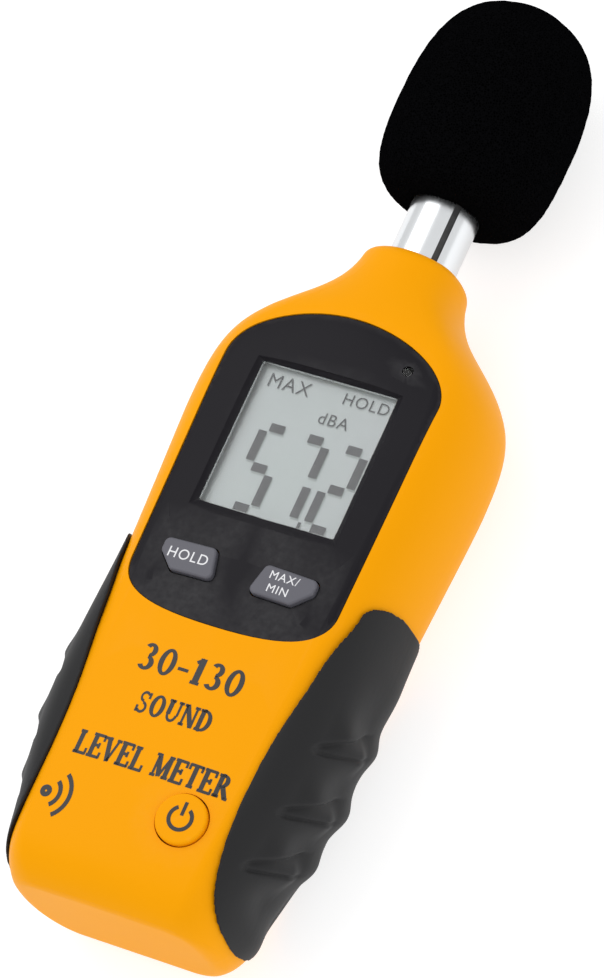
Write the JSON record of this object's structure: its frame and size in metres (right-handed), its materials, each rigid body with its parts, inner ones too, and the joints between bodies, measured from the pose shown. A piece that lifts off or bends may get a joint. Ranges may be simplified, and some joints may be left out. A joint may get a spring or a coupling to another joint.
{
  "type": "sound level meter",
  "caption": "Handheld sound level meter with a foam-covered microphone on a slim neck, display window, keys, side grips and a battery door in the back.",
  "frame": {"origin": "centre of the bounding box in X and Y, on the plane of the case's flat back, where the meter lies", "axes": "+Z the way the display faces, +Y towards the microphone, +X to the reader's right"},
  "size_m": [0.0566, 0.1836, 0.0335],
  "materials": {
    "orange_shell": "satin moulded ABS, fine texture",
    "grip_rubber": "matte soft rubber",
    "bezel_plastic": "satin black moulding",
    "clear_lens": "clear polished acrylic",
    "lcd_glass": "grey-green reflective LCD",
    "white_plastic": "white diffuser",
    "black_plastic": "black moulding",
    "connector_rubber": "silicone strip",
    "board_laminate": "green solder mask",
    "chip_epoxy": "moulded epoxy",
    "capacitor_can": "drawn can",
    "blue_plastic": "moulded",
    "steel": "nickel plated",
    "key_plastic": "satin grey keycap",
    "chrome": "bright plated",
    "aluminium_can": "drawn can",
    "lead_black": "PVC insulation",
    "lead_red": "PVC insulation",
    "foam": "open-cell black foam",
    "pad_foam": "EVA foam pad",
    "cell_jacket": "printed film jacket",
    "brass": "turned",
    "switch_plunger": "moulded"
  },
  "bodies": {
    "case": {"front_case": "orange_shell", "rear_case": "orange_shell", "grip_left": "grip_rubber", "grip_right": "grip_rubber", "display_bezel": "bezel_plastic", "display_window": "clear_lens", "lcd_panel": "lcd_glass", "lcd_backlight": "white_plastic", "lcd_frame": "black_plastic", "zebra_strips": "connector_rubber", "main_board": "board_laminate", "microcontroller": "chip_epoxy", "preamp_chip": "chip_epoxy", "electrolytic_capacitors": "capacitor_can", "calibration_trimmer": "blue_plastic", "crystal": "steel", "light_sensor": "clear_lens", "light_pipe": "clear_lens", "tact_switches": "black_plastic", "mic_holder": "black_plastic", "mic_tube": "chrome", "mic_liner": "black_plastic", "mic_capsule": "aluminium_can", "mic_grid": "chrome", "mic_leads": "lead_black", "batteries": "cell_jacket", "battery_springs": "steel", "contact_plates": "steel", "battery_lead_red": "lead_red", "battery_lead_black": "lead_black", "case_screws": "steel", "pcb_screws": "steel", "tripod_insert": "brass"},
    "hold_button": {"hold_button": "key_plastic", "hold_plunger": "switch_plunger"},
    "max_min_button": {"max_min_button": "key_plastic", "max_min_plunger": "switch_plunger"},
    "power_button": {"power_button": "orange_shell", "power_plunger": "switch_plunger"},
    "windscreen": {"windscreen": "foam"},
    "battery_cover": {"battery_cover": "orange_shell", "cover_pad": "pad_foam"}
  },
  "joints": [
    {"name": "hold_button_press", "type": "slide", "parent": "case", "child": "hold_button", "axis": [0, 0, -1], "range_m": [0, 0.0005], "stiffness_N_per_m": 900, "springref_m": -0.0006},
    {"name": "max_min_button_press", "type": "slide", "parent": "case", "child": "max_min_button", "axis": [0, 0, -1], "range_m": [0, 0.0005], "stiffness_N_per_m": 900, "springref_m": -0.0006},
    {"name": "power_button_press", "type": "slide", "parent": "case", "child": "power_button", "axis": [0, 0, -1], "range_m": [0, 0.0005], "stiffness_N_per_m": 900, "springref_m": -0.0006},
    {"name": "windscreen_pull", "type": "slide", "parent": "case", "child": "windscreen", "axis": [0, 1, 0], "range_m": [0, 0.03]},
    {"name": "battery_door", "type": "hinge", "parent": "case", "child": "battery_cover", "pos_m": [0, -0.08235, 0], "axis": [-1, 0, 0], "range_deg": [0, 80]}
  ]
}
